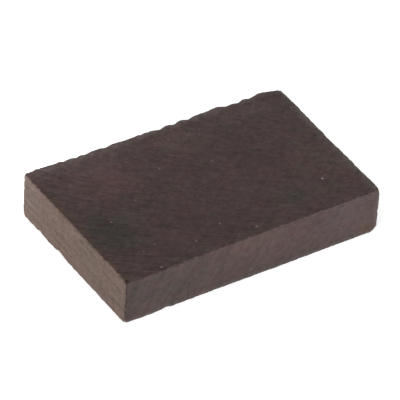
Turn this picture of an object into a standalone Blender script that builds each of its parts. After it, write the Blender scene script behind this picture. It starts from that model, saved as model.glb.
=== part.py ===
# An ebony blank: a small block sawn from dark heartwood, lying on one wide face.
# Metres, +Z up. The grain runs along X, the width along Y and the thickness along Z.
# The origin is at the centre of the footprint, on the surface that the block lies on.

import bmesh
import bpy
from mathutils import Vector, noise

MM = 0.001

# The block as it left the saw
LENGTH = 75.0 * MM
WIDTH = 47.7 * MM
THICKNESS = 13.0 * MM
WIDTH_TAPER = 0.7 * MM      # how much wider the left end is than the right end
RIGHT_END_SKEW = 0.6 * MM   # how much longer the back edge is than the front edge
LEFT_END_LEAN = 0.25 * MM   # how far the top of the left end overhangs its foot
BACK_LEAN = 0.12 * MM       # how far the top of the back overhangs its foot

HALF = Vector((LENGTH, WIDTH, THICKNESS)) / 2

# The arrises: each is a narrow strip, two facets wide, that its wear widens or narrows
STRIP = 0.5 * MM            # the strip's width before wear
PLAIN_WEAR = 0.14 * MM      # what handling takes off a sound arris
RAGGED_WEAR = 0.07 * MM     # how much that wear varies
RAGGED_GRAIN = 1.7 * MM     # over what length it varies
ALONG_STEP = 0.65 * MM      # spacing of the points along the long arrises
ACROSS_STEP = 0.80 * MM     # along the short ones
UPRIGHT_STEP = 1.30 * MM    # up the four corners, and between the rows of the back face

# Chips, in millimetres: where the deepest point lies along the arris, how far the chip
# reaches before and after it, and its depth. Long arrises are measured from the left end
# and short ones from the back. An arris is named by the sides of its two faces in x, y and z.
CHIP_SHARPNESS = 1.3        # 1 gives a plain notch, more hollows its two sides
CHIPS = {
    (0, -1, -1): ((12.8, 1.9, 1.3, 0.55), (20.8, 1.2, 1.4, 0.26), (26.0, 1.2, 1.4, 0.28)),
    (-1, 0, -1): ((8.2, 1.9, 1.5, 0.48), (16.6, 1.5, 5.4, 0.98), (25.6, 2.2, 1.6, 0.34)),
    (1, 0, 1): (
        (16.1, 0.8, 0.8, 0.26),
        (24.2, 6.0, 14.0, 0.36),
        (31.1, 0.8, 0.8, 0.48),
        (36.8, 1.0, 1.2, 0.46),
    ),
    (-1, 0, 1): ((1.6, 1.2, 1.6, 0.30),),
}

# Corners knocked off, by their side in x, y and z: how far the break reaches along each arris
BROKEN_CORNERS = {
    (1, -1, -1): 1.5 * MM,
    (-1, 1, -1): 0.8 * MM,
    (-1, -1, -1): 0.8 * MM,
    (1, 1, 1): 1.1 * MM,
    (1, -1, 1): 1.1 * MM,
    (-1, 1, 1): 0.7 * MM,
}

# The back tore out along its top arris: one scar beside the next, each steep on its left and
# long on its right or the other way round. As for the chips, in millimetres from the left end;
# a depth below zero is a splinter left standing proud.
BACK_SCARS = (
    (4.0, 1.5, 2.0, -0.12),
    (9.0, 3.0, 0.9, 0.28),
    (11.0, 0.8, 2.0, 0.42),
    (14.8, 1.0, 1.7, 0.57),
    (17.6, 2.4, 6.0, 0.58),
    (23.1, 0.9, 3.0, 0.50),
    (28.6, 4.6, 6.0, 0.52),
    (34.0, 0.8, 1.2, 0.40),
    (35.6, 0.4, 1.6, 0.33),
    (39.1, 2.0, 2.4, 0.68),
    (43.2, 0.8, 2.8, 0.62),
    (47.5, 1.2, 5.0, 0.50),
    (55.8, 4.0, 1.6, -0.40),
    (58.9, 1.7, 5.0, 0.74),
    (62.5, 3.0, 1.9, 0.78),
    (66.0, 1.2, 3.2, 0.66),
    (73.6, 4.4, 4.0, 0.95),
)
SCAR_DROP = 3.0 * MM        # how far down the back a scar runs out
SCAR_FADE = 1.5             # how soon it gets shallow on the way

# Below the scars the back is as the saw left it: rounded ridges from top to bottom
RIDGE_PITCH = 2.4 * MM
RIDGE_DEPTH = 0.09 * MM
RIDGE_SLANT = 0.12          # how far a ridge leans along X for each step up
RIDGE_WANDER = 0.35         # how far the ridges stray from even spacing, in pitches
BACK_UNEVENNESS = 0.14 * MM
BACK_LUMP = 7.0 * MM        # the size of the back's uneven patches

EBONY_COLOUR = (0.036, 0.027, 0.025, 1.0)
EBONY_ROUGHNESS = 0.62

TINY = 1e-6


def side_of(co, axis):
    """-1 or 1 where a point lies on or next to that pair of faces, else 0."""
    if abs(co[axis]) < HALF[axis] - STRIP - TINY:
        return 0
    return 1 if co[axis] > 0 else -1


def on_arris(edge):
    """Whether an edge runs along one of the twelve arrises."""
    shared = 0
    for axis in range(3):
        first, second = (vert.co[axis] for vert in edge.verts)
        if abs(abs(first) - HALF[axis]) < TINY and abs(first - second) < TINY:
            shared += 1
    return shared == 2


def runs_along(edge, axis):
    span = edge.verts[1].co - edge.verts[0].co
    return abs(span[axis]) > TINY


def in_back_face(edge):
    return all(abs(vert.co.y - HALF.y) < TINY for vert in edge.verts)


def pieces_in(size, step):
    return max(2, round(size / step))


def sawn_block(bm):
    """The square block, with points along its arrises and a grid over its back face."""
    bmesh.ops.create_cube(bm, size=1.0)
    bmesh.ops.scale(bm, vec=(LENGTH, WIDTH, THICKNESS), verts=bm.verts)

    steps = (ALONG_STEP, ACROSS_STEP, UPRIGHT_STEP)
    cuts = [pieces_in(2 * half, step) - 1 for half, step in zip(HALF, steps)]
    plain = [[], [], []]
    for edge in bm.edges:
        for axis in range(3):
            if runs_along(edge, axis) and not in_back_face(edge):
                plain[axis].append(edge)
    for axis in range(3):
        bmesh.ops.bisect_edges(bm, edges=plain[axis], cuts=cuts[axis])

    for axis in (0, 2):
        across = [edge for edge in bm.edges if in_back_face(edge) and runs_along(edge, axis)]
        bmesh.ops.subdivide_edges(bm, edges=across, cuts=cuts[axis])


def bevel_arrises(bm):
    arrises = [edge for edge in bm.edges if on_arris(edge)]
    bmesh.ops.bevel(
        bm,
        geom=arrises,
        offset=STRIP,
        offset_type="OFFSET",
        segments=2,
        profile=0.5,
        affect="EDGES",
        clamp_overlap=False,
        material=-1,
    )


def distance_along(co, sides):
    """Millimetres along an arris: from the left end, from the back, or up from the foot."""
    axis = sides.index(0)
    if axis == 1:
        return (HALF.y - co.y) / MM
    return (co[axis] + HALF[axis]) / MM


def chip_depth(chips, along):
    """Depth in millimetres at a place, of the deepest chip less any splinter that stands proud."""
    cut, proud = 0.0, 0.0
    for deepest, before, after, depth in chips:
        side = before if along < deepest else after
        reach = abs(along - deepest) / side
        if reach < 1.0:
            here = depth * (1.0 - reach) ** CHIP_SHARPNESS
            cut = max(cut, here)
            proud = min(proud, here)
    return cut + proud


def wear_at(co, sides):
    """The width of one arris at a point along it, chips and raggedness included."""
    unlike_the_others = 9 * Vector(sides)
    ragged = noise.noise(co / RAGGED_GRAIN + unlike_the_others)
    wear = PLAIN_WEAR + RAGGED_WEAR * ragged
    chipped = chip_depth(CHIPS.get(sides, ()), distance_along(co, sides)) * MM
    return max(wear, chipped)


def wear_arrises(bm):
    """Widen or narrow the strip along each arris, keeping the wide faces flat."""
    for vert in bm.verts:
        sides = [side_of(vert.co, axis) for axis in range(3)]
        touched = [axis for axis in range(3) if sides[axis]]
        if len(touched) < 2:
            continue
        widths = {axis: [] for axis in touched}
        for left_out in range(3):
            arris = tuple(0 if axis == left_out else sides[axis] for axis in range(3))
            if arris.count(0) != 1:
                continue
            width = wear_at(vert.co, arris)
            for axis in touched:
                if axis != left_out:
                    widths[axis].append(width)
        for axis in touched:
            inward = HALF[axis] - abs(vert.co[axis])
            worn = inward * min(widths[axis]) / STRIP
            vert.co[axis] = sides[axis] * (HALF[axis] - worn)


def break_corner(bm, corner, reach):
    """Cut one corner off flat; points of a face slide within it, so that it stays flat."""
    for vert in bm.verts:
        inward = [HALF[axis] - corner[axis] * vert.co[axis] for axis in range(3)]
        missing = reach - sum(inward)
        if missing <= 0:
            continue
        free = [axis for axis in range(3) if inward[axis] > TINY]
        for axis in free:
            vert.co[axis] -= corner[axis] * missing / len(free)


def roughen_back(bm):
    """Press the scars, the saw's ridges and an uneven surface into the back."""
    for vert in bm.verts:
        if HALF.y - vert.co.y > 2 * STRIP:
            continue
        x, z = vert.co.x, vert.co.z
        down = min(1.0, max(0.0, (HALF.z - z) / SCAR_DROP))
        scar = chip_depth(BACK_SCARS, (x + HALF.x) / MM) * MM * (1.0 - down) ** SCAR_FADE
        pitches = (x + RIDGE_SLANT * z) / RIDGE_PITCH
        pitches += RIDGE_WANDER * noise.noise(Vector((pitches, 0.0, 0.0)))
        from_ridge = abs((pitches % 1.0) - 0.5) * 2
        uneven = max(0.0, 0.5 + noise.noise(vert.co / BACK_LUMP))
        sawn = RIDGE_DEPTH * from_ridge ** 2 + BACK_UNEVENNESS * uneven
        vert.co.y -= scar + sawn * down


def skew_block(bm):
    """The saw's small errors: a taper in width, a skewed right end and two leaning sides."""
    for vert in bm.verts:
        x, y, z = vert.co
        toward_right = (x + HALF.x) / LENGTH
        toward_back = (y + HALF.y) / WIDTH
        vert.co.y += WIDTH_TAPER * (0.5 - toward_right) * toward_back
        vert.co.x += RIGHT_END_SKEW * (toward_back - 0.5) * toward_right
        vert.co.x -= LEFT_END_LEAN * (z / THICKNESS) * (1.0 - toward_right)
        vert.co.y += BACK_LEAN * (z / THICKNESS) * toward_back


def set_on_origin(bm):
    """Centre the footprint on the origin and lay the block on z = 0."""
    lowest = Vector([min(vert.co[axis] for vert in bm.verts) for axis in range(3)])
    highest = Vector([max(vert.co[axis] for vert in bm.verts) for axis in range(3)])
    middle = (lowest + highest) / 2
    bmesh.ops.translate(bm, vec=(-middle.x, -middle.y, -lowest.z), verts=bm.verts)


def ebony_material():
    material = bpy.data.materials.new("ebony")
    material.use_nodes = True
    shader = material.node_tree.nodes["Principled BSDF"]
    shader.inputs["Base Color"].default_value = EBONY_COLOUR
    shader.inputs["Roughness"].default_value = EBONY_ROUGHNESS
    shader.inputs["Metallic"].default_value = 0.0
    return material


def ebony_blank(collection):
    bm = bmesh.new()
    sawn_block(bm)
    bevel_arrises(bm)
    wear_arrises(bm)
    for corner, reach in BROKEN_CORNERS.items():
        break_corner(bm, corner, reach)
    roughen_back(bm)
    skew_block(bm)
    set_on_origin(bm)

    mesh = bpy.data.meshes.new("ebony_blank")
    bm.to_mesh(mesh)
    bm.free()
    mesh.shade_smooth()
    mesh.set_sharp_from_angle(angle=0.6)
    mesh.materials.append(ebony_material())
    blank = bpy.data.objects.new("ebony_blank", mesh)
    collection.objects.link(blank)
    return blank


def main():
    for old in list(bpy.data.objects):
        bpy.data.objects.remove(old, do_unlink=True)
    collection = bpy.data.collections.new("Ebony blank")
    bpy.context.scene.collection.children.link(collection)
    ebony_blank(collection)


main()
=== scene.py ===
# Some of the material's colour is painted light and shade, over the wood's own tints and stains.
# An ebony blank, dressed: a finely divided skin over the imported block, with the marks of the
# saw, the chips and the torn back in its mesh, and the grain, pores and dust in its material.
# Lengths in the dictionaries are in millimetres; the scene itself is in metres.

import math

import bmesh
import bpy
from mathutils import Matrix, Vector, noise
from mathutils.bvhtree import BVHTree


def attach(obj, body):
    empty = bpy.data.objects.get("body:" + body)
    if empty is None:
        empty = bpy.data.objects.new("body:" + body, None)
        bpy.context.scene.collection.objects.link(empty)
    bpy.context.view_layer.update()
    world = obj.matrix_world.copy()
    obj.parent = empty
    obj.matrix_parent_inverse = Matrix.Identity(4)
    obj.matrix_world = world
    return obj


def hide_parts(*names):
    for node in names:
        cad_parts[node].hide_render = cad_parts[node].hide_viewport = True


mm = 0.001

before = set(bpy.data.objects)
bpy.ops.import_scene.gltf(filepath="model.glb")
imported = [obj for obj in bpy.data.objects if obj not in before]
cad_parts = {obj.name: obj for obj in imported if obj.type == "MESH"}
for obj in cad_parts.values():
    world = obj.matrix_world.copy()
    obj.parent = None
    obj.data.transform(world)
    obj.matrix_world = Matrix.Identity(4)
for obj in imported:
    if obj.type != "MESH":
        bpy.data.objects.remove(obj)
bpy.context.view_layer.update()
print("frame: the packed block is loaded")


# The block's skin

block = {
    "size": Vector((75.0, 47.7, 13.0)),  # as sawn, before its arrises wore
    "widthTaper": 0.7,      # how much wider the left end is than the right end
    "rightEndSkew": 0.6,    # how much longer the back edge is than the front edge
    "leftEndLean": 0.25,    # how far the top of the left end overhangs its foot
    "backLean": 0.12,       # how far the top of the back overhangs its foot

    "weld": 0.001,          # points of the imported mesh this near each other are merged
    "castFrom": 1.5,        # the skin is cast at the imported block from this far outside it,
    "core": 3.0,            # towards a core this deep in the block
    "finestRow": 0.06,      # spacing of the mesh's rows at an arris
    "rowGrowth": 1.25,      # each row further in is wider than the last by this factor
    "widestRow": 0.36,      # until the rows are this wide

    "markDepths": (0.026, 0.020, 0.020),  # of the saw's marks on the ends, sides and wide faces
    "endPitch": 0.85,       # level lines on the two ends
    "endLength": 20.0,
    "sidePitch": 1.20,      # steep lines on the front and the back
    "sideLength": 9.0,
    "sideSlant": 0.60,
    "widePitch": 1.4,       # arcs on the wide faces, measured along the block
    "wideLength": 14.0,
    "arcRadius": 226.0,     # the wood moved past a disc this big, so each arc is like the last
    "arcMiddle": 167.0,     # how far back from the block's middle the disc's own middle was
    "arcShares": (0.35, 0.15),  # those from the disc's front, and fainter ones from its back

    # where two depths or distances are given, the change begins at the first and is full at the
    # second
    "chipCuts": (0.06, 0.22),   # how far under the sawn face wood is chipped
    "gritDepth": 0.12,      # the broken wood inside a chip is uneven
    "gritSize": 0.6,
    "nickDepth": 0.35,      # nicks scattered along every arris
    "nickSize": 0.8,
    "nickReach": 0.5,       # how far over a face a nick can spread
    "nickRarity": 0.30,     # only the noise above this makes a nick
    "nickShift": Vector((7.0, 3.0, 1.0)),  # keeps the nicks from falling where the grit does
    "nickBrowns": (0.02, 0.08),     # how deep a nick has to be to show fresh wood
    "brownFromBack": (0.8, 1.8),    # how far from the back fresh wood shows
    "rimWidths": (1.2, 0.2),    # how near an arris wood is crumbled
    "raggedDepth": 0.09,    # no arris is quite straight
    "raggedSizes": (0.6, 1.4),
    "raggedBack": 1.6,      # how much less straight those of the back are
    "breaks": (             # wood gone from an arris, or left on it: place, reach and depth
        (Vector((-25.6, -23.9, -6.5)), 1.3, 0.24),
        (Vector((-31.0, -23.9, -6.5)), 5.0, -0.13),
        (Vector((-37.5, 15.9, -6.5)), 1.2, 0.16),
        (Vector((-37.5, 23.9, 4.9)), 0.7, 0.20),
        (Vector((-34.0, 23.9, 6.5)), 1.6, -0.20),
        (Vector((-29.0, 23.9, 6.5)), 4.0, -0.18),
        (Vector((-18.3, 23.9, 6.5)), 3.2, -0.26),
        (Vector((-9.5, 23.9, 6.5)), 4.5, -0.22),
        (Vector((-3.0, 23.9, 6.5)), 4.0, -0.12),
        (Vector((7.6, 23.9, 6.5)), 1.6, -0.17),
        (Vector((12.6, 23.9, 6.5)), 2.6, -0.26),
        (Vector((20.5, 23.9, 6.5)), 5.5, -0.17),
        (Vector((32.0, 23.9, 6.5)), 6.5, -0.16),
        (Vector((37.5, 15.5, 6.5)), 9.0, -0.14),
        (Vector((37.5, -8.0, 6.5)), 9.0, -0.08),
        (Vector((37.5, -21.0, 6.5)), 3.5, -0.10),
    ),

    "tearCuts": (0.10, 0.60),   # how far under the back's sawn face wood is torn
    "tearDepth": 0.14,      # fibres pulled out of the back
    "tearLeast": 0.35,      # the share of that depth where the back is neither torn nor rough
    "tearLength": 4.5,
    "tearWidth": 0.6,
    "ridgeDepth": 0.30,     # upright ridges from the coarser saw that cut the back
    "ridgePitch": 2.4,
    "ridgeLength": 8.0,
    "ridgeSlant": 0.22,
    "ridgeSlice": 5.0,      # keeps the ridges from following the fibres
    "roughBelow": (0.2, 1.3),   # how far under its top arris the back is rough
    "roughAlong": (0.4, 2.5),   # and how far from its left end
    "hollowShadeShares": (0.5, 0.3),  # how much painted shade the fibres and the ridges put in the back's hollows, and painted light on its crests
}

half = block["size"] / 2


def smoothStep(value, low, high):
    t = min(1.0, max(0.0, (value - low) / (high - low)))
    return t * t * (3 - 2 * t)


def rowPlaces(reach):
    # where the mesh's rows lie from one side of the block to the other
    inward = [0.0]
    row = block["finestRow"]
    while row < block["widestRow"]:
        inward.append(inward[-1] + row)
        row *= block["rowGrowth"]
    start = inward[-1]
    rest = reach - start
    count = round(rest / block["widestRow"])
    inward += [start + rest * (k + 1) / count for k in range(count)]
    return [d - reach for d in inward] + [reach - d for d in reversed(inward[:-1])]


def dividedBlock():
    # a cube from -1 to 1 cut into rows, then its rows moved to their places, and with it the
    # sides of the cube that each point lies on, as -1, 0 or 1 for each axis
    bm = bmesh.new()
    bmesh.ops.create_cube(bm, size=2.0)
    slack = 1e-4    # for rounding
    rows = [rowPlaces(reach) for reach in half]
    for axis in range(3):
        spans = [(abs(e.verts[0].co[axis] - e.verts[1].co[axis]), e) for e in bm.edges]
        uncut = [e for span, e in spans if span > 2.0 - slack]
        cuts = len(rows[axis]) - 2
        bmesh.ops.subdivide_edges(bm, edges=uncut, cuts=cuts, use_grid_fill=True)
    sides = []
    for vert in bm.verts:
        sides.append(tuple(round(c) if abs(abs(c) - 1) < slack else 0 for c in vert.co))
        steps = [round((c + 1) / 2 * (len(row) - 1)) for c, row in zip(vert.co, rows)]
        vert.co = [row[step] for row, step in zip(rows, steps)]
    return bm, sides


def asSawn(place):
    # from the square block to the slightly tapered and leaning one
    right = place.x / block["size"].x + 0.5
    back = place.y / block["size"].y + 0.5
    above = place.z / block["size"].z
    x = place.x + block["rightEndSkew"] * (back - 0.5) * right
    x -= block["leftEndLean"] * above * (1 - right)
    y = place.y + block["widthTaper"] * (0.5 - right) * back
    y += block["backLean"] * above * back
    return Vector((x, y, place.z))


def packedSolid(node):
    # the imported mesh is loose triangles, so a copy is merged before anything is cast at it
    solid = bmesh.new()
    solid.from_mesh(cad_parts[node].data)
    bmesh.ops.remove_doubles(solid, verts=solid.verts, dist=block["weld"] * mm)
    tree = BVHTree.FromBMesh(solid)
    solid.free()
    return tree


def toPacked(solid):
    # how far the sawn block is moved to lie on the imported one, found by casts from a metre away
    left = solid.ray_cast(Vector((-1, 0, half.z * mm)), Vector((1, 0, 0)))[0]
    front = solid.ray_cast(Vector((0, -1, half.z * mm)), Vector((0, 1, 0)))[0]
    leftEnd = asSawn(Vector((-half.x, 0, 0))).x
    return Vector((left.x / mm - leftEnd, front.y / mm + half.y, half.z))


def sawMark(place, axis):
    # how deep the saw has cut here, from -0.5 to 0.5 of its marks' depth
    if axis == 0:
        spot = (place.z / block["endPitch"], place.y / block["endLength"], place.x)
        return 0.5 * noise.noise(Vector(spot))
    if axis == 1:
        across = place.x - block["sideSlant"] * place.z
        spot = (across / block["sidePitch"], place.z / block["sideLength"], place.y)
        return 0.5 * noise.noise(Vector(spot))
    arc = math.sqrt(block["arcRadius"] ** 2 - (block["arcMiddle"] - place.y) ** 2)
    deep = 0.0
    for across, share in zip((place.x + arc, place.x - arc), block["arcShares"]):
        spot = (across / block["widePitch"], place.y / block["wideLength"], place.z)
        deep += share * noise.noise(Vector(spot))
    return deep


def arrisWear(place, edge, atBack):
    # how deep the nearest arris is nicked here, and how far inward its line strays
    nearness = max(0.0, 1 - edge / block["nickReach"])
    nick = noise.noise(place / block["nickSize"] + block["nickShift"]) - block["nickRarity"]
    nick = max(0.0, nick) * block["nickDepth"] * nearness
    stray = sum(noise.noise(place / size) for size in block["raggedSizes"])
    stray *= block["raggedDepth"] * nearness * (block["raggedBack"] if atBack else 1.0)
    for middle, reach, depth in block["breaks"]:
        stray += depth * smoothStep((place - middle).length, reach, 0.0)
    return nick, stray


def backWear(place, tear):
    # how deep the back is torn and ridged here, and how much painted shade that gives: darker in
    # its hollows, paler on its crests
    rough = smoothStep(half.z - place.z, *block["roughBelow"])
    rough *= smoothStep(half.x + place.x, *block["roughAlong"])
    spot = (place.x / block["tearLength"], 0.0, place.z / block["tearWidth"])
    fibre = noise.noise(Vector(spot))
    across = place.x - block["ridgeSlant"] * place.z
    spot = (across / block["ridgePitch"], block["ridgeSlice"], place.z / block["ridgeLength"])
    ridge = noise.noise(Vector(spot))
    torn = block["tearLeast"] + (1 - block["tearLeast"]) * max(tear, rough)
    depth = block["tearDepth"] * torn * fibre + block["ridgeDepth"] * rough * ridge
    fibreShare, ridgeShare = block["hollowShadeShares"]
    return depth, rough * (fibreShare * fibre + ridgeShare * ridge)


def skinOver(node):
    solid = packedSolid(node)
    shift = toPacked(solid)
    bm, allSides = dividedBlock()
    core = half - Vector((block["core"],) * 3)
    facing, broken, rim, hollowShade = [], [], [], []
    for vert, sides in zip(bm.verts, allSides):
        place = vert.co.copy()
        inner = Vector([max(-c, min(c, p)) for c, p in zip(core, place)])
        start = (asSawn(place) + shift) * mm
        inward = ((asSawn(inner) + shift) * mm - start).normalized()
        hit = solid.ray_cast(start - block["castFrom"] * mm * inward, inward)[0]
        cut = (hit - start).dot(inward) / mm

        edge = sorted(h - abs(p) for h, p in zip(half, place))[1]
        atBack = sides[1] == 1
        chip = 0.0 if atBack else smoothStep(cut, *block["chipCuts"])
        grit = chip * block["gritDepth"] * noise.noise(place / block["gritSize"])
        nick, stray = arrisWear(place, edge, atBack)
        hit += inward * mm * (max(0.0, grit) + nick + stray)
        for axis, depth in enumerate(block["markDepths"]):
            if sides[axis]:
                hit[axis] -= sides[axis] * depth * mm * sawMark(place, axis)
        dip = 0.0
        if atBack:
            depth, dip = backWear(place, smoothStep(cut, *block["tearCuts"]))
            hit.y -= depth * mm
        vert.co = hit

        facing += [abs(s) / sum(map(abs, sides)) for s in sides]
        offBack = smoothStep(half.y - place.y, *block["brownFromBack"])
        broken.append(offBack * max(chip, smoothStep(nick, *block["nickBrowns"])))
        rim.append(smoothStep(edge, *block["rimWidths"]))
        hollowShade.append(0.5 + dip)    # 0.5 is level, with no painted shade

    bmesh.ops.recalc_face_normals(bm, faces=bm.faces)
    mesh = bpy.data.meshes.new("sawn_ebony")
    bm.to_mesh(mesh)
    bm.free()
    mesh.shade_smooth()
    facings = mesh.attributes.new("facing", "FLOAT_VECTOR", "POINT")
    facings.data.foreach_set("vector", facing)
    for name, values in (("broken", broken), ("rim", rim), ("hollowShade", hollowShade)):
        mesh.attributes.new(name, "FLOAT", "POINT").data.foreach_set("value", values)
    skin = bpy.data.objects.new("sawn_ebony", mesh)
    bpy.context.scene.collection.objects.link(skin)
    print(f"skin: {len(mesh.vertices)} points, {2 * len(mesh.polygons)} triangles")
    return skin


# The wood

ebony = {
    "wood": "3b302f",
    "endGrain": "3a302b",
    "freshBreak": "4f4036",
    "roughness": 1.0,       # dry sawn wood scatters nearly all its gloss
    "specular": 0.10,

    # sizes are along the grain, across it and through the thickness
    "patterns": {
        "patches": (13.0, 8.0, 6.0),
        "layers": (70.0, 9.0, 0.75),    # growth layers, which lie nearly flat
        "fibres": (2.0, 0.5, 0.5),      # real ones are about 0.1 wide, too fine to show
        "grit": (1.5, 1.5, 1.5),        # the sawn surface's unevenness, drawn coarse enough to show
    },
    "weights": {            # how much each pattern lightens and darkens the wood
        "patches": 0.16,
        "layers": 0.05,
        "fibres": 0.12,
        "grit": 0.37,
        "saw": 0.60,
    },
    "gritOnSides": 0.90,    # the front and back are cut a little cleaner than the rest

    # the saw's scores, drawn a few times as wide as real ones: their strength at the left and at
    # the right, then their size across a score, along it and through the wood
    "scores": {
        "level": (1.00, 1.00, (0.30, 14.0, 9.0)),
        "steep": (0.50, 0.20, (1.3, 7.0, 9.0)),
        "ahead": (0.72, 0.35, (0.95, 4.0, 9.0)),
        "behind": (0.20, 0.30, (0.95, 4.0, 9.0)),
    },
    "scoreSpan": (-30.0, 30.0),     # where left and right are along the block

    "poreSize": (1.3, 0.2, 0.2),    # open pores, drawn twice as wide as real ones
    "poreRange": (0.60, 0.70),      # a pore begins where its noise is this high, and is full
    "poreDepth": 0.18,      # how much darker a pore is than the wood round it
    "poreOffWide": 0.5,     # the share of that on the ends, the front and the back
    "crumbSize": (0.3, 0.3, 0.3),   # pores cut across, drawn three times as wide as real ones
    "crumbDepth": 0.08,
    "crumbOnEnds": 0.18,
    "speckSize": (0.6, 0.6, 0.6),   # crumbled wood along every arris
    "speckDepth": 0.25,
    "hollowShadeDepth": 0.50,    # painted shade: the torn back's hollows are painted darker and its crests paler

    "greyer": "3a312f",     # the colour drifts between these two every few millimetres
    "redder": "3c2f2f",
    "driftSize": (4.5, 3.0, 2.4),
    "driftRange": (0.35, 0.65),     # the heights of its noise that are all greyer and all redder
    "driftOnEnds": 0.4,     # the share of the drift on the ends
    "tintsAndPaintedLight": (              # where the colour changes, as the log's own colour and as painted light and shade: middle, reach each way and colour
        # painted light and shade over the log's own redder patches: the top is painted lighter
        # towards the back and darker towards the front
        ((-24.0, 25.0, 12.0), (32.0, 24.0, 26.0), "453838"),
        ((-21.0, 10.5, 12.0), (12.0, 8.5, 16.0), "463736"),
        ((2.5, 18.5, 13.0), (9.0, 11.5, 14.0), "463937"),
        ((22.0, 18.0, 13.0), (22.0, 14.0, 14.0), "3f3534"),
        ((-14.0, -16.0, 8.0), (30.0, 20.0, 20.0), "392e2d"),
        ((-30.0, -6.0, 12.0), (11.5, 13.0, 14.0), "312d2b"),
        ((17.5, -16.0, 13.0), (5.0, 7.0, 6.0), "352f2d"),
        ((32.0, -7.0, 11.0), (14.0, 15.0, 13.0), "3f3432"),
        ((-26.0, -25.0, 6.0), (26.0, 5.0, 14.0), "362f2d"),
        ((-36.5, -25.2, 6.5), (7.0, 2.4, 14.0), "2d2826"),
        # painted shade: the front is painted darker towards its foot
        ((4.0, -24.0, -1.0), (60.0, 4.0, 10.0), "362d2b"),
        ((0.0, -25.0, 12.0), (14.0, 5.0, 8.0), "3e3330"),
        ((26.0, -25.0, 9.0), (15.0, 5.0, 11.0), "3d3333"),
        ((34.0, -25.0, 1.0), (5.0, 4.0, 4.0), "3d312a"),
        ((-38.0, 21.0, 8.0), (4.0, 8.0, 9.0), "403637"),
        ((-38.0, 2.0, 11.0), (4.0, 8.0, 5.0), "3f3332"),
    ),
    "arrisStainsAndPaintedLight": (             # the same beside the arrises, some paler and some browner or darker: rubbed wood, and painted highlights, reflections and shade
        ((-36.8, 0.0, 13.1), (1.2, 200.0, 0.45), "3d302a"),
        ((-36.8, 21.0, 13.0), (1.8, 4.0, 0.8), "483935"),
        ((-37.2, 14.1, 13.0), (0.9, 1.3, 0.6), "42302a"),
        ((-37.2, 7.2, 13.0), (0.9, 1.6, 0.6), "402f25"),
        # painted highlight: a pale line along the left end's top arris, where its worn facet
        # catches the low light
        ((-37.5, 0.0, 13.15), (0.26, 200.0, 0.3), "6a5856"),
        # painted reflection: pale bands along the back's and the right end's top arrises, as if the
        # white round the block shone in them
        ((0.0, 24.2, 13.0), (200.0, 3.6, 1.6), "514745"),
        ((37.8, 0.0, 13.0), (3.2, 200.0, 1.6), "49413f"),
        # painted light: a pale band along the front's foot, as if lit from the floor below
        ((0.0, -24.2, -0.2), (200.0, 1.0, 1.8), "3f3938"),
        ((37.6, -24.2, 6.0), (2.2, 0.8, 30.0), "4d4242"),
        ((34.6, -24.5, 7.0), (1.5, 1.5, 7.0), "3a312e"),
        ((-30.0, -24.1, 12.9), (16.0, 0.5, 0.6), "2c2322"),
        # painted shade: a dark line down the left end's front arris
        ((-37.45, -24.0, 6.5), (0.33, 0.33, 30.0), "261c1a"),
        # painted shadow: a dark spot in the chip at the left end's front top corner
        ((-37.3, -23.7, 12.9), (0.9, 0.9, 0.9), "1c1311"),
    ),

    "dust": "b0a8a0",
    "dustSpacing": 1.9,     # faint flecks of dust all over
    "dustSize": 0.13,
    "dustEdge": 0.06,       # how softly a fleck ends
    "dustRarity": 0.5,      # the share of places without one
    "dustStrength": 0.36,
    "fleckSize": (0.48, 0.48, 0.48),
    "fleckCore": 0.1,       # the share of a fleck that is at full strength
    "flecks": (             # the ones that stand out: their place and their strength
        ((26.9, -13.3, 13.0), 0.38),
        ((-28.5, -2.5, 13.0), 0.16),
        ((2.1, -21.2, 13.0), 0.14),
        ((-5.3, -15.8, 13.0), 0.14),
        ((-14.0, -18.7, 13.0), 0.13),
        ((-6.8, 9.7, 13.0), 0.12),
        ((-18.8, 1.9, 13.0), 0.10),
        ((6.6, 6.0, 13.0), 0.09),
        ((-23.7, -14.9, 13.0), 0.09),
        ((-3.8, 12.2, 13.0), 0.08),
        ((-27.6, -15.9, 13.0), 0.08),
        ((-26.9, -23.1, 13.0), 0.20),
        ((-0.6, -24.1, 2.4), 0.07),
    ),

    "bumpHeight": 0.02,     # of the grit and scores that are too fine for the mesh
    "bumpBySaw": 0.6,       # how high the scores stand beside the grit
}

noiseLow, noiseMiddle, noiseHigh = 0.25, 0.50, 0.75  # nearly all of a noise is in this range


def linearColour(code):
    channels = [int(code[k:k + 2], 16) / 255 for k in (0, 2, 4)]
    return [c / 12.92 if c <= 0.04045 else ((c + 0.055) / 1.055) ** 2.4 for c in channels] + [1.0]


def addNode(tree, kind, inputs, **settings):
    # inputs go by name or number: a Map Range's 0 to 4 are its value, what it is mapped from and
    # what to, and a colour Mix's 0, 6 and 7 are its share and its two colours
    node = tree.nodes.new(kind)
    for name, value in settings.items():
        setattr(node, name, value)
    for name, value in inputs.items():
        if isinstance(value, bpy.types.NodeSocket):
            tree.links.new(value, node.inputs[name])
        else:
            node.inputs[name].default_value = value
    return node


def grainPattern(tree, place, size, detail=2.0):
    # an irregular pattern, about this large along the grain, across it and through the wood;
    # detail is how many finer ones are laid over it
    spot = {0: place, 1: size}
    spot = addNode(tree, "ShaderNodeVectorMath", spot, operation="DIVIDE").outputs[0]
    spot = {0: spot, "Scale": 1.0, "Detail": detail}
    return addNode(tree, "ShaderNodeTexNoise", spot).outputs["Fac"]


def eitherWay(tree, pattern, depth):
    # a pattern as what it adds to the wood's tone, up to this depth lighter or darker
    swing = {0: pattern, 1: noiseLow, 2: noiseHigh, 3: -1.0, 4: 1.0}
    swing = addNode(tree, "ShaderNodeMapRange", swing).outputs[0]
    return addNode(tree, "ShaderNodeMath", {0: swing, 1: depth}, operation="MULTIPLY").outputs[0]


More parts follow.
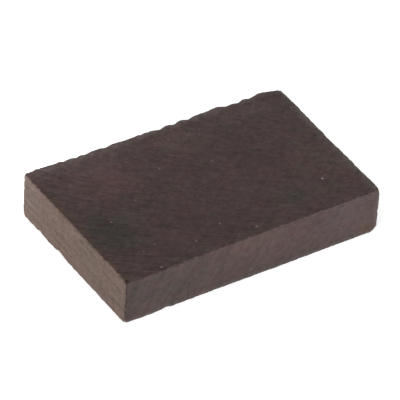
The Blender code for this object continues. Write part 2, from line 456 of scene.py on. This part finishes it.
def spotAround(tree, place, middle, reach, core=0.0):
    # 1 in the middle of a soft round spot and 0 outside it; core is the share that stays full
    away = {0: place, 1: middle}
    away = addNode(tree, "ShaderNodeVectorMath", away, operation="SUBTRACT").outputs[0]
    away = {0: away, 1: reach}
    away = addNode(tree, "ShaderNodeVectorMath", away, operation="DIVIDE").outputs[0]
    away = addNode(tree, "ShaderNodeVectorMath", {0: away}, operation="LENGTH").outputs["Value"]
    soft = {0: away, 1: 1.0, 2: core, 3: 0.0, 4: 1.0}
    return addNode(tree, "ShaderNodeMapRange", soft, interpolation_type="SMOOTHSTEP").outputs[0]


def sawScores(tree, place, facing):
    # fine scores: level lines on the ends, steep lines on the sides, and arcs on the wide faces,
    # cut by the front of the disc ahead of its middle and more faintly by its back behind it
    x, y, z = addNode(tree, "ShaderNodeSeparateXYZ", {0: place}).outputs
    steep = {0: z, 1: -block["sideSlant"], 2: x}
    steep = addNode(tree, "ShaderNodeMath", steep, operation="MULTIPLY_ADD").outputs[0]
    below = {0: block["arcMiddle"], 1: y}
    below = addNode(tree, "ShaderNodeMath", below, operation="SUBTRACT").outputs[0]
    square = {0: below, 1: below}
    square = addNode(tree, "ShaderNodeMath", square, operation="MULTIPLY").outputs[0]
    square = {0: block["arcRadius"] ** 2, 1: square}
    square = addNode(tree, "ShaderNodeMath", square, operation="SUBTRACT").outputs[0]
    arc = addNode(tree, "ShaderNodeMath", {0: square}, operation="SQRT").outputs[0]
    ahead = addNode(tree, "ShaderNodeMath", {0: x, 1: arc}, operation="ADD").outputs[0]
    behind = addNode(tree, "ShaderNodeMath", {0: x, 1: arc}, operation="SUBTRACT").outputs[0]

    left, right = ebony["scoreSpan"]
    scores = noiseMiddle
    for name, axis, across, along, through in (
        ("level", 0, z, y, x),
        ("steep", 1, steep, z, y),
        ("ahead", 2, ahead, y, z),
        ("behind", 2, behind, y, z),
    ):
        leftShare, rightShare, size = ebony["scores"][name]
        share = {0: x, 1: left, 2: right, 3: leftShare, 4: rightShare}
        share = addNode(tree, "ShaderNodeMapRange", share).outputs[0]
        spot = {0: across, 1: along, 2: through}
        spot = addNode(tree, "ShaderNodeCombineXYZ", spot).outputs[0]
        score = {0: grainPattern(tree, spot, size), 1: noiseMiddle}
        score = addNode(tree, "ShaderNodeMath", score, operation="SUBTRACT").outputs[0]
        score = {0: score, 1: share}
        score = addNode(tree, "ShaderNodeMath", score, operation="MULTIPLY").outputs[0]
        added = {0: score, 1: facing[axis], 2: scores}
        scores = addNode(tree, "ShaderNodeMath", added, operation="MULTIPLY_ADD").outputs[0]
    return scores


def woodPatterns(tree, place, facing):
    # all that lightens and darkens the wood by its weight; the grit is fainter on the sides
    found = {name: grainPattern(tree, place, size) for name, size in ebony["patterns"].items()}
    found["saw"] = sawScores(tree, place, facing)
    shown = {0: facing[1], 3: 1.0, 4: ebony["gritOnSides"]}
    shown = addNode(tree, "ShaderNodeMapRange", shown).outputs[0]
    grit = {0: found["grit"], 1: noiseMiddle}
    grit = addNode(tree, "ShaderNodeMath", grit, operation="SUBTRACT").outputs[0]
    grit = {0: grit, 1: shown, 2: noiseMiddle}
    found["grit"] = addNode(tree, "ShaderNodeMath", grit, operation="MULTIPLY_ADD").outputs[0]
    return found


def woodTone(tree, place, facing, found):
    # how light or dark the wood is: 1 is its own colour, which a pattern's middle leaves alone
    tone = 1.0 - sum(ebony["weights"].values())
    for name, weight in ebony["weights"].items():
        added = {0: found[name], 1: 2 * weight, 2: tone}
        tone = addNode(tree, "ShaderNodeMath", added, operation="MULTIPLY_ADD").outputs[0]

    # open pores are short dark strokes along the grain, and dots on the ends
    depth = {0: facing[2], 3: -ebony["poreOffWide"] * ebony["poreDepth"], 4: -ebony["poreDepth"]}
    depth = addNode(tree, "ShaderNodeMapRange", depth).outputs[0]
    start, full = ebony["poreRange"]
    pore = grainPattern(tree, place, ebony["poreSize"], detail=0.0)
    pore = {0: pore, 1: start, 2: full, 3: 0.0, 4: depth}
    pore = addNode(tree, "ShaderNodeMapRange", pore).outputs[0]

    depth = {0: facing[0], 3: ebony["crumbDepth"], 4: ebony["crumbOnEnds"]}
    depth = addNode(tree, "ShaderNodeMapRange", depth).outputs[0]
    crumb = grainPattern(tree, place, ebony["crumbSize"], detail=0.0)
    crumb = eitherWay(tree, crumb, depth)

    rim = addNode(tree, "ShaderNodeAttribute", {}, attribute_name="rim").outputs["Fac"]
    depth = {0: rim, 1: ebony["speckDepth"]}
    depth = addNode(tree, "ShaderNodeMath", depth, operation="MULTIPLY").outputs[0]
    speck = grainPattern(tree, place, ebony["speckSize"], detail=1.0)
    speck = eitherWay(tree, speck, depth)

    # painted shade in the torn back's hollows, and painted light on its crests
    hollowShade = addNode(tree, "ShaderNodeAttribute", {}, attribute_name="hollowShade").outputs["Fac"]
    hollowShade = {0: hollowShade, 3: ebony["hollowShadeDepth"], 4: -ebony["hollowShadeDepth"]}
    hollowShade = addNode(tree, "ShaderNodeMapRange", hollowShade).outputs[0]

    for change in (pore, crumb, speck, hollowShade):
        changed = {0: tone, 1: change, 2: tone}
        tone = addNode(tree, "ShaderNodeMath", changed, operation="MULTIPLY_ADD").outputs[0]
    return tone


def woodColour(tree, place, facing):
    # the colour before its tone: the log's tints and the arrises' stains, some of them painted
    # light and shade, a finer drift, and browner ends
    wood = linearColour(ebony["wood"])
    colour = wood
    for middle, reach, code in ebony["tintsAndPaintedLight"] + ebony["arrisStainsAndPaintedLight"]:
        tinted = {0: spotAround(tree, place, middle, reach), 6: colour, 7: linearColour(code)}
        colour = addNode(tree, "ShaderNodeMix", tinted, data_type="RGBA").outputs[2]

    greyer, redder, ended = [
        [c / w for c, w in zip(linearColour(ebony[name]), wood)]
        for name in ("greyer", "redder", "endGrain")
    ]
    start, full = ebony["driftRange"]
    drift = grainPattern(tree, place, ebony["driftSize"], detail=1.0)
    drift = {0: drift, 1: start, 2: full}
    drift = addNode(tree, "ShaderNodeMapRange", drift).outputs[0]
    drift = {0: drift, 6: greyer, 7: redder}
    drift = addNode(tree, "ShaderNodeMix", drift, data_type="RGBA").outputs[2]
    driftShare = {0: facing[0], 3: 1.0, 4: ebony["driftOnEnds"]}
    driftShare = addNode(tree, "ShaderNodeMapRange", driftShare).outputs[0]
    for share, change in ((driftShare, drift), (facing[0], ended)):
        changed = {0: share, 6: colour, 7: change}
        changed = addNode(tree, "ShaderNodeMix", changed, data_type="RGBA", blend_type="MULTIPLY")
        colour = changed.outputs[2]
    return colour


def dustFlecks(tree, place):
    # dust packed into a pore here and there
    spacing = ebony["dustSpacing"]
    cells = addNode(tree, "ShaderNodeTexVoronoi", {0: place, "Scale": 1 / spacing}).outputs
    away = {0: cells["Distance"], 1: spacing}
    away = addNode(tree, "ShaderNodeMath", away, operation="MULTIPLY").outputs[0]
    chance = addNode(tree, "ShaderNodeSeparateColor", {0: cells["Color"]}).outputs[0]
    size = {0: chance, 1: ebony["dustRarity"], 2: 1.0, 3: 0.0, 4: ebony["dustSize"]}
    size = addNode(tree, "ShaderNodeMapRange", size).outputs[0]
    inside = addNode(tree, "ShaderNodeMath", {0: size, 1: away}, operation="SUBTRACT").outputs[0]
    fleck = {0: inside, 1: 0.0, 2: ebony["dustEdge"], 3: 0.0, 4: ebony["dustStrength"]}
    fleck = addNode(tree, "ShaderNodeMapRange", fleck).outputs[0]
    for middle, strength in ebony["flecks"]:
        spot = spotAround(tree, place, middle, ebony["fleckSize"], ebony["fleckCore"])
        spot = {0: spot, 1: strength}
        spot = addNode(tree, "ShaderNodeMath", spot, operation="MULTIPLY").outputs[0]
        both = {0: fleck, 1: spot}
        fleck = addNode(tree, "ShaderNodeMath", both, operation="MAXIMUM").outputs[0]
    return fleck


def sawnEbony():
    # ebony heartwood, cut with a circular saw and left dry: near-black brown, dull, finely
    # scored, with dust in its open pores and a warmer brown where it has broken
    material = bpy.data.materials.new("SawnEbony")
    material.use_nodes = True
    tree = material.node_tree
    shader = tree.nodes["Principled BSDF"]

    # the patterns' coordinates are the block's own, in millimetres
    place = {0: addNode(tree, "ShaderNodeTexCoord", {}).outputs["Object"], "Scale": 1 / mm}
    place = addNode(tree, "ShaderNodeVectorMath", place, operation="SCALE").outputs[0]
    facing = addNode(tree, "ShaderNodeAttribute", {}, attribute_name="facing").outputs["Vector"]
    facing = addNode(tree, "ShaderNodeSeparateXYZ", {0: facing}).outputs
    broken = addNode(tree, "ShaderNodeAttribute", {}, attribute_name="broken").outputs["Fac"]

    found = woodPatterns(tree, place, facing)
    tone = woodTone(tree, place, facing, found)
    colour = {0: woodColour(tree, place, facing), "Scale": tone}
    colour = addNode(tree, "ShaderNodeVectorMath", colour, operation="SCALE").outputs[0]
    for share, code in ((broken, ebony["freshBreak"]), (dustFlecks(tree, place), ebony["dust"])):
        covered = {0: share, 6: colour, 7: linearColour(code)}
        colour = addNode(tree, "ShaderNodeMix", covered, data_type="RGBA").outputs[2]

    height = {0: found["saw"], 1: ebony["bumpBySaw"], 2: found["grit"]}
    height = addNode(tree, "ShaderNodeMath", height, operation="MULTIPLY_ADD").outputs[0]
    bump = {"Height": height, "Distance": ebony["bumpHeight"] * mm, "Strength": 1.0}
    bump = addNode(tree, "ShaderNodeBump", bump).outputs[0]

    tree.links.new(colour, shader.inputs["Base Color"])
    tree.links.new(bump, shader.inputs["Normal"])
    shader.inputs["Roughness"].default_value = ebony["roughness"]
    shader.inputs["Specular IOR Level"].default_value = ebony["specular"]
    return material


skin = skinOver("ebony_blank")
skin.data.materials.append(sawnEbony())
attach(skin, "root")
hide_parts("ebony_blank")
print("wood: the skin has its material")


# The studio

studio = {
    "floorSize": 6.0,       # metres across
    "floorDrop": 0.05,      # keeps the floor clear of the block's underside
    "floorColour": "f8f8f8",
    "floorRoughness": 0.9,
    "floorGlow": 0.20,      # the paper is lit from below as well
    "dome": 1.11,           # strength of the light from all round
    "domeColour": "ffffff",
    "key": 11.6,            # strength of the low light from the left
    "keyColour": "f9fbfc",
    "keyHeight": 4.0,       # degrees above the floor
    "keyTurn": 22.2,        # degrees from straight at the left end, towards the front
    "keySoftness": 12.0,    # degrees across
}


def layFloor():
    bm = bmesh.new()
    under = Matrix.Translation((0, 0, -studio["floorDrop"] * mm))
    size = studio["floorSize"] / 2
    bmesh.ops.create_grid(bm, x_segments=1, y_segments=1, size=size, matrix=under)
    mesh = bpy.data.meshes.new("floor")
    bm.to_mesh(mesh)
    bm.free()
    floor = bpy.data.objects.new("floor", mesh)
    bpy.context.scene.collection.objects.link(floor)

    # matt backdrop paper: plain, white and without gloss
    paper = bpy.data.materials.new("BackdropPaper")
    paper.use_nodes = True
    shader = paper.node_tree.nodes["Principled BSDF"]
    shader.inputs["Base Color"].default_value = linearColour(studio["floorColour"])
    shader.inputs["Roughness"].default_value = studio["floorRoughness"]
    shader.inputs["Specular IOR Level"].default_value = 0.0
    shader.inputs["Emission Color"].default_value = linearColour(studio["floorColour"])
    shader.inputs["Emission Strength"].default_value = studio["floorGlow"]
    mesh.materials.append(paper)


def lightStudio():
    world = bpy.data.worlds.new("studio")
    bpy.context.scene.world = world
    world.use_nodes = True
    dome = world.node_tree.nodes["Background"]
    dome.inputs["Color"].default_value = linearColour(studio["domeColour"])
    dome.inputs["Strength"].default_value = studio["dome"]

    key = bpy.data.lights.new("key", "SUN")
    key.energy = studio["key"]
    key.angle = math.radians(studio["keySoftness"])
    key.color = linearColour(studio["keyColour"])[:3]
    height, turn = math.radians(studio["keyHeight"]), math.radians(studio["keyTurn"])
    level = math.cos(height)
    towards = Vector((-math.cos(turn) * level, -math.sin(turn) * level, math.sin(height)))
    lamp = bpy.data.objects.new("key", key)
    lamp.rotation_euler = towards.to_track_quat("Z", "Y").to_euler()
    bpy.context.scene.collection.objects.link(lamp)


camera = {                  # fitted to the block's straight edges
    "place": (-506.144, -714.806, 713.223),
    "right": (0.84026, -0.53924, 0.05577),
    "up": (0.30302, 0.55248, 0.77645),
    "lens": 405.0,
    "sensor": 36.0,
    "clip": (0.05, 50.0),   # metres
}


def setCamera():
    right, up = Vector(camera["right"]).normalized(), Vector(camera["up"])
    back = right.cross(up).normalized()
    up = back.cross(right)
    lens = bpy.data.cameras.new("camera")
    lens.lens = camera["lens"]
    lens.sensor_width = camera["sensor"]
    lens.clip_start, lens.clip_end = camera["clip"]
    holder = bpy.data.objects.new("camera", lens)
    turned = Matrix((right, up, back)).transposed().to_4x4()
    holder.matrix_world = Matrix.Translation(Vector(camera["place"]) * mm) @ turned
    bpy.context.scene.collection.objects.link(holder)
    bpy.context.scene.camera = holder


layFloor()
lightStudio()
setCamera()
bpy.context.scene.view_settings.view_transform = "Standard"
print("studio: floor, light and camera are set")
